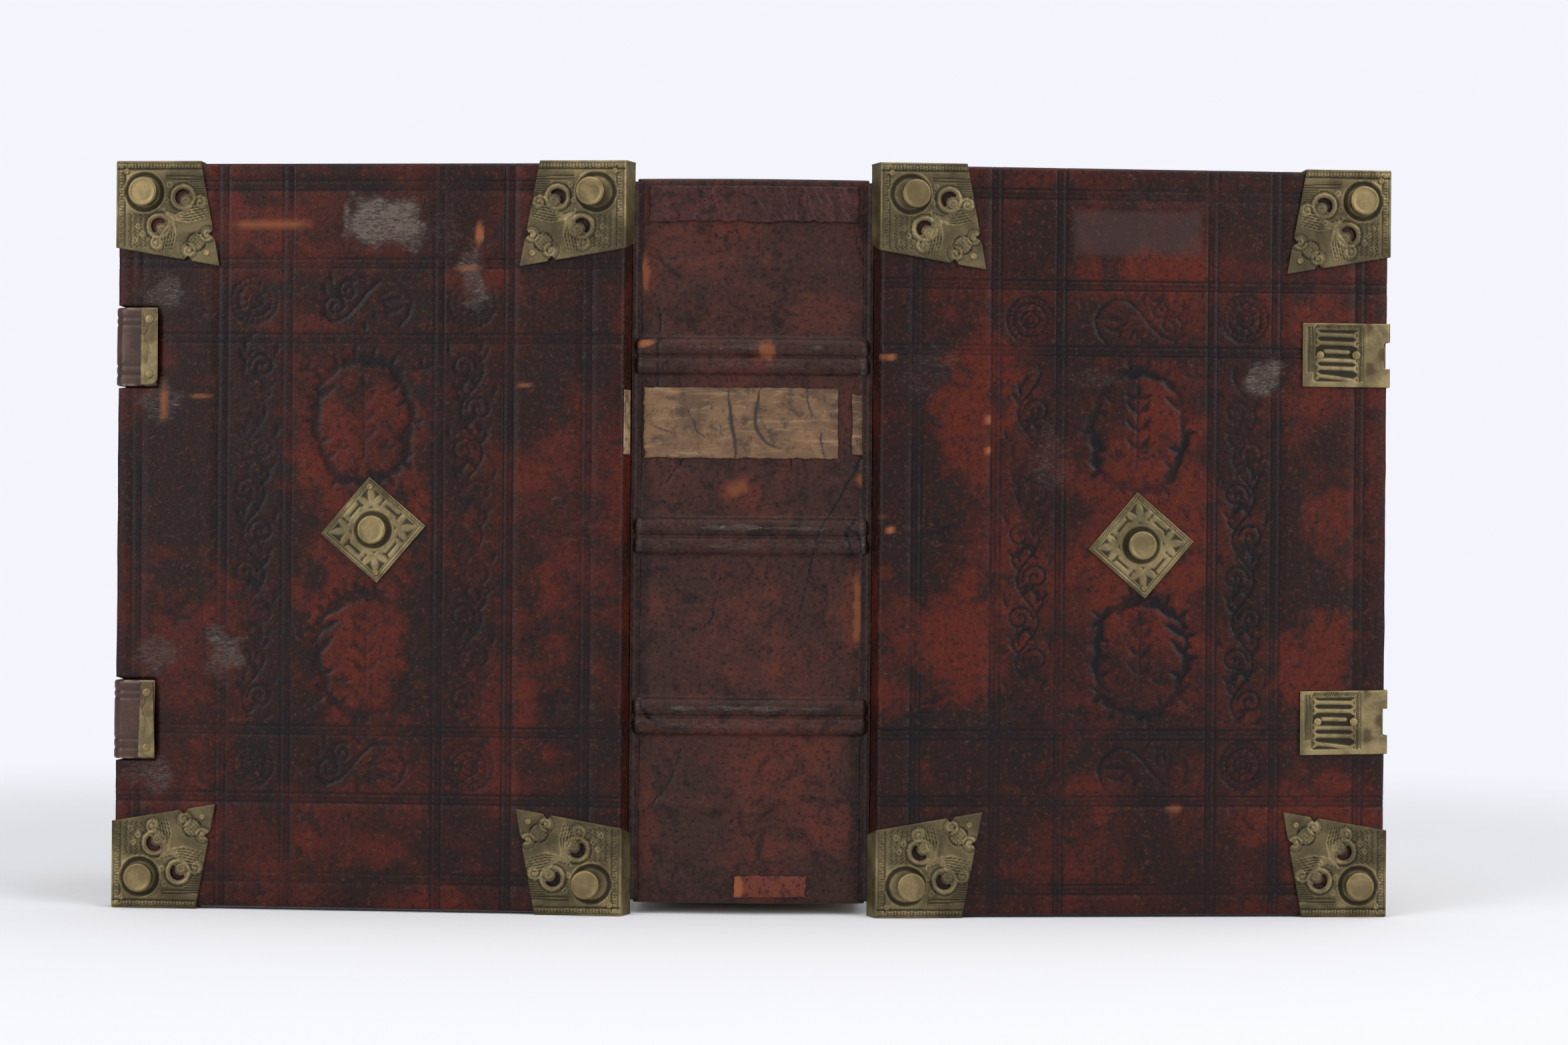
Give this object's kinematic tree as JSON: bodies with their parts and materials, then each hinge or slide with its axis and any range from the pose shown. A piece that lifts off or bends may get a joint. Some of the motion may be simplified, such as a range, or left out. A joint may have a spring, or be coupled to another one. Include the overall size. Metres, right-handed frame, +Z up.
{
  "type": "antique leather-bound book",
  "caption": "Old leather-bound book with wooden boards, raised bands, brass corners, bosses, catches and strap clasps, its covers hinged.",
  "frame": {"origin": "on the floor under the middle of the book as it stands on its tail with both covers open", "axes": "+X to the right along the open covers, +Y from the spine to the fore edge of the pages, +Z up from tail to head"},
  "size_m": [0.4186, 0.177, 0.245],
  "materials": {
    "page_paper": "aged laid paper, edges browned",
    "pastedown_paper": "aged paper",
    "label_paper": "stained and cracked",
    "repair_leather": "newer wrinkled leather",
    "endband_thread": "sewn thread over a core",
    "hemp_cord": "twisted cord",
    "board_wood": "old sawn board",
    "strap_leather": "worn smooth",
    "cover_leather": "dark, worn and mottled, blind tooled",
    "nail_brass": "dull",
    "old_brass": "olive patina, bright at the edges"
  },
  "bodies": {
    "book_block": {"head_endband": "endband_thread", "head_repair_leather": "repair_leather", "lower_band_cords": "hemp_cord", "middle_band_cords": "hemp_cord", "spine_label": "label_paper", "spine_leather": "cover_leather", "tail_endband": "endband_thread", "tail_repair_leather": "repair_leather", "text_block": "page_paper", "upper_band_cords": "hemp_cord"},
    "front_cover": {"front_board": "board_wood", "front_catch_nails": "nail_brass", "front_centre_boss": "old_brass", "front_centre_plate": "old_brass", "front_cord_ends": "hemp_cord", "front_cover_leather": "cover_leather", "front_head_fore_boss": "old_brass", "front_head_fore_corner": "old_brass", "front_head_spine_boss": "old_brass", "front_head_spine_corner": "old_brass", "front_pastedown": "pastedown_paper", "front_plate_nails": "nail_brass", "front_tail_fore_boss": "old_brass", "front_tail_fore_corner": "old_brass", "front_tail_spine_boss": "old_brass", "front_tail_spine_corner": "old_brass", "lower_catch_plate": "old_brass", "upper_catch_plate": "old_brass"},
    "back_cover": {"back_anchor_nails": "nail_brass", "back_board": "board_wood", "back_centre_boss": "old_brass", "back_centre_plate": "old_brass", "back_cord_ends": "hemp_cord", "back_cover_leather": "cover_leather", "back_head_fore_boss": "old_brass", "back_head_fore_corner": "old_brass", "back_head_spine_boss": "old_brass", "back_head_spine_corner": "old_brass", "back_label_strip": "label_paper", "back_pastedown": "pastedown_paper", "back_plate_nails": "nail_brass", "back_tail_fore_boss": "old_brass", "back_tail_fore_corner": "old_brass", "back_tail_spine_boss": "old_brass", "back_tail_spine_corner": "old_brass", "lower_anchor_plate": "old_brass", "lower_strap_root": "strap_leather", "upper_anchor_plate": "old_brass", "upper_strap_root": "strap_leather"},
    "upper_strap_tail": {"upper_strap": "strap_leather", "upper_hook_plate": "old_brass", "upper_hook_backplate": "old_brass", "upper_hook_rivets": "nail_brass"},
    "lower_strap_tail": {"lower_strap": "strap_leather", "lower_hook_plate": "old_brass", "lower_hook_backplate": "old_brass", "lower_hook_rivets": "nail_brass"}
  },
  "joints": [
    {"name": "front_cover_hinge", "type": "hinge", "parent": "book_block", "child": "front_cover", "pos_m": [0.03845, -0.07687, 0.1225], "axis": [0, 0, 1], "range_deg": [-19.5, 85.5]},
    {"name": "back_cover_hinge", "type": "hinge", "parent": "book_block", "child": "back_cover", "pos_m": [-0.03845, -0.07687, 0.1225], "axis": [0, 0, -1], "range_deg": [-19.5, 85.5]},
    {"name": "upper_strap_hinge", "type": "hinge", "parent": "back_cover", "child": "upper_strap_tail", "pos_m": [-0.20895, -0.06446, 0.184], "axis": [0, 0, 1], "range_deg": [0, 100]},
    {"name": "lower_strap_hinge", "type": "hinge", "parent": "back_cover", "child": "lower_strap_tail", "pos_m": [-0.20895, -0.06446, 0.0618], "axis": [0, 0, 1], "range_deg": [0, 100]}
  ]
}
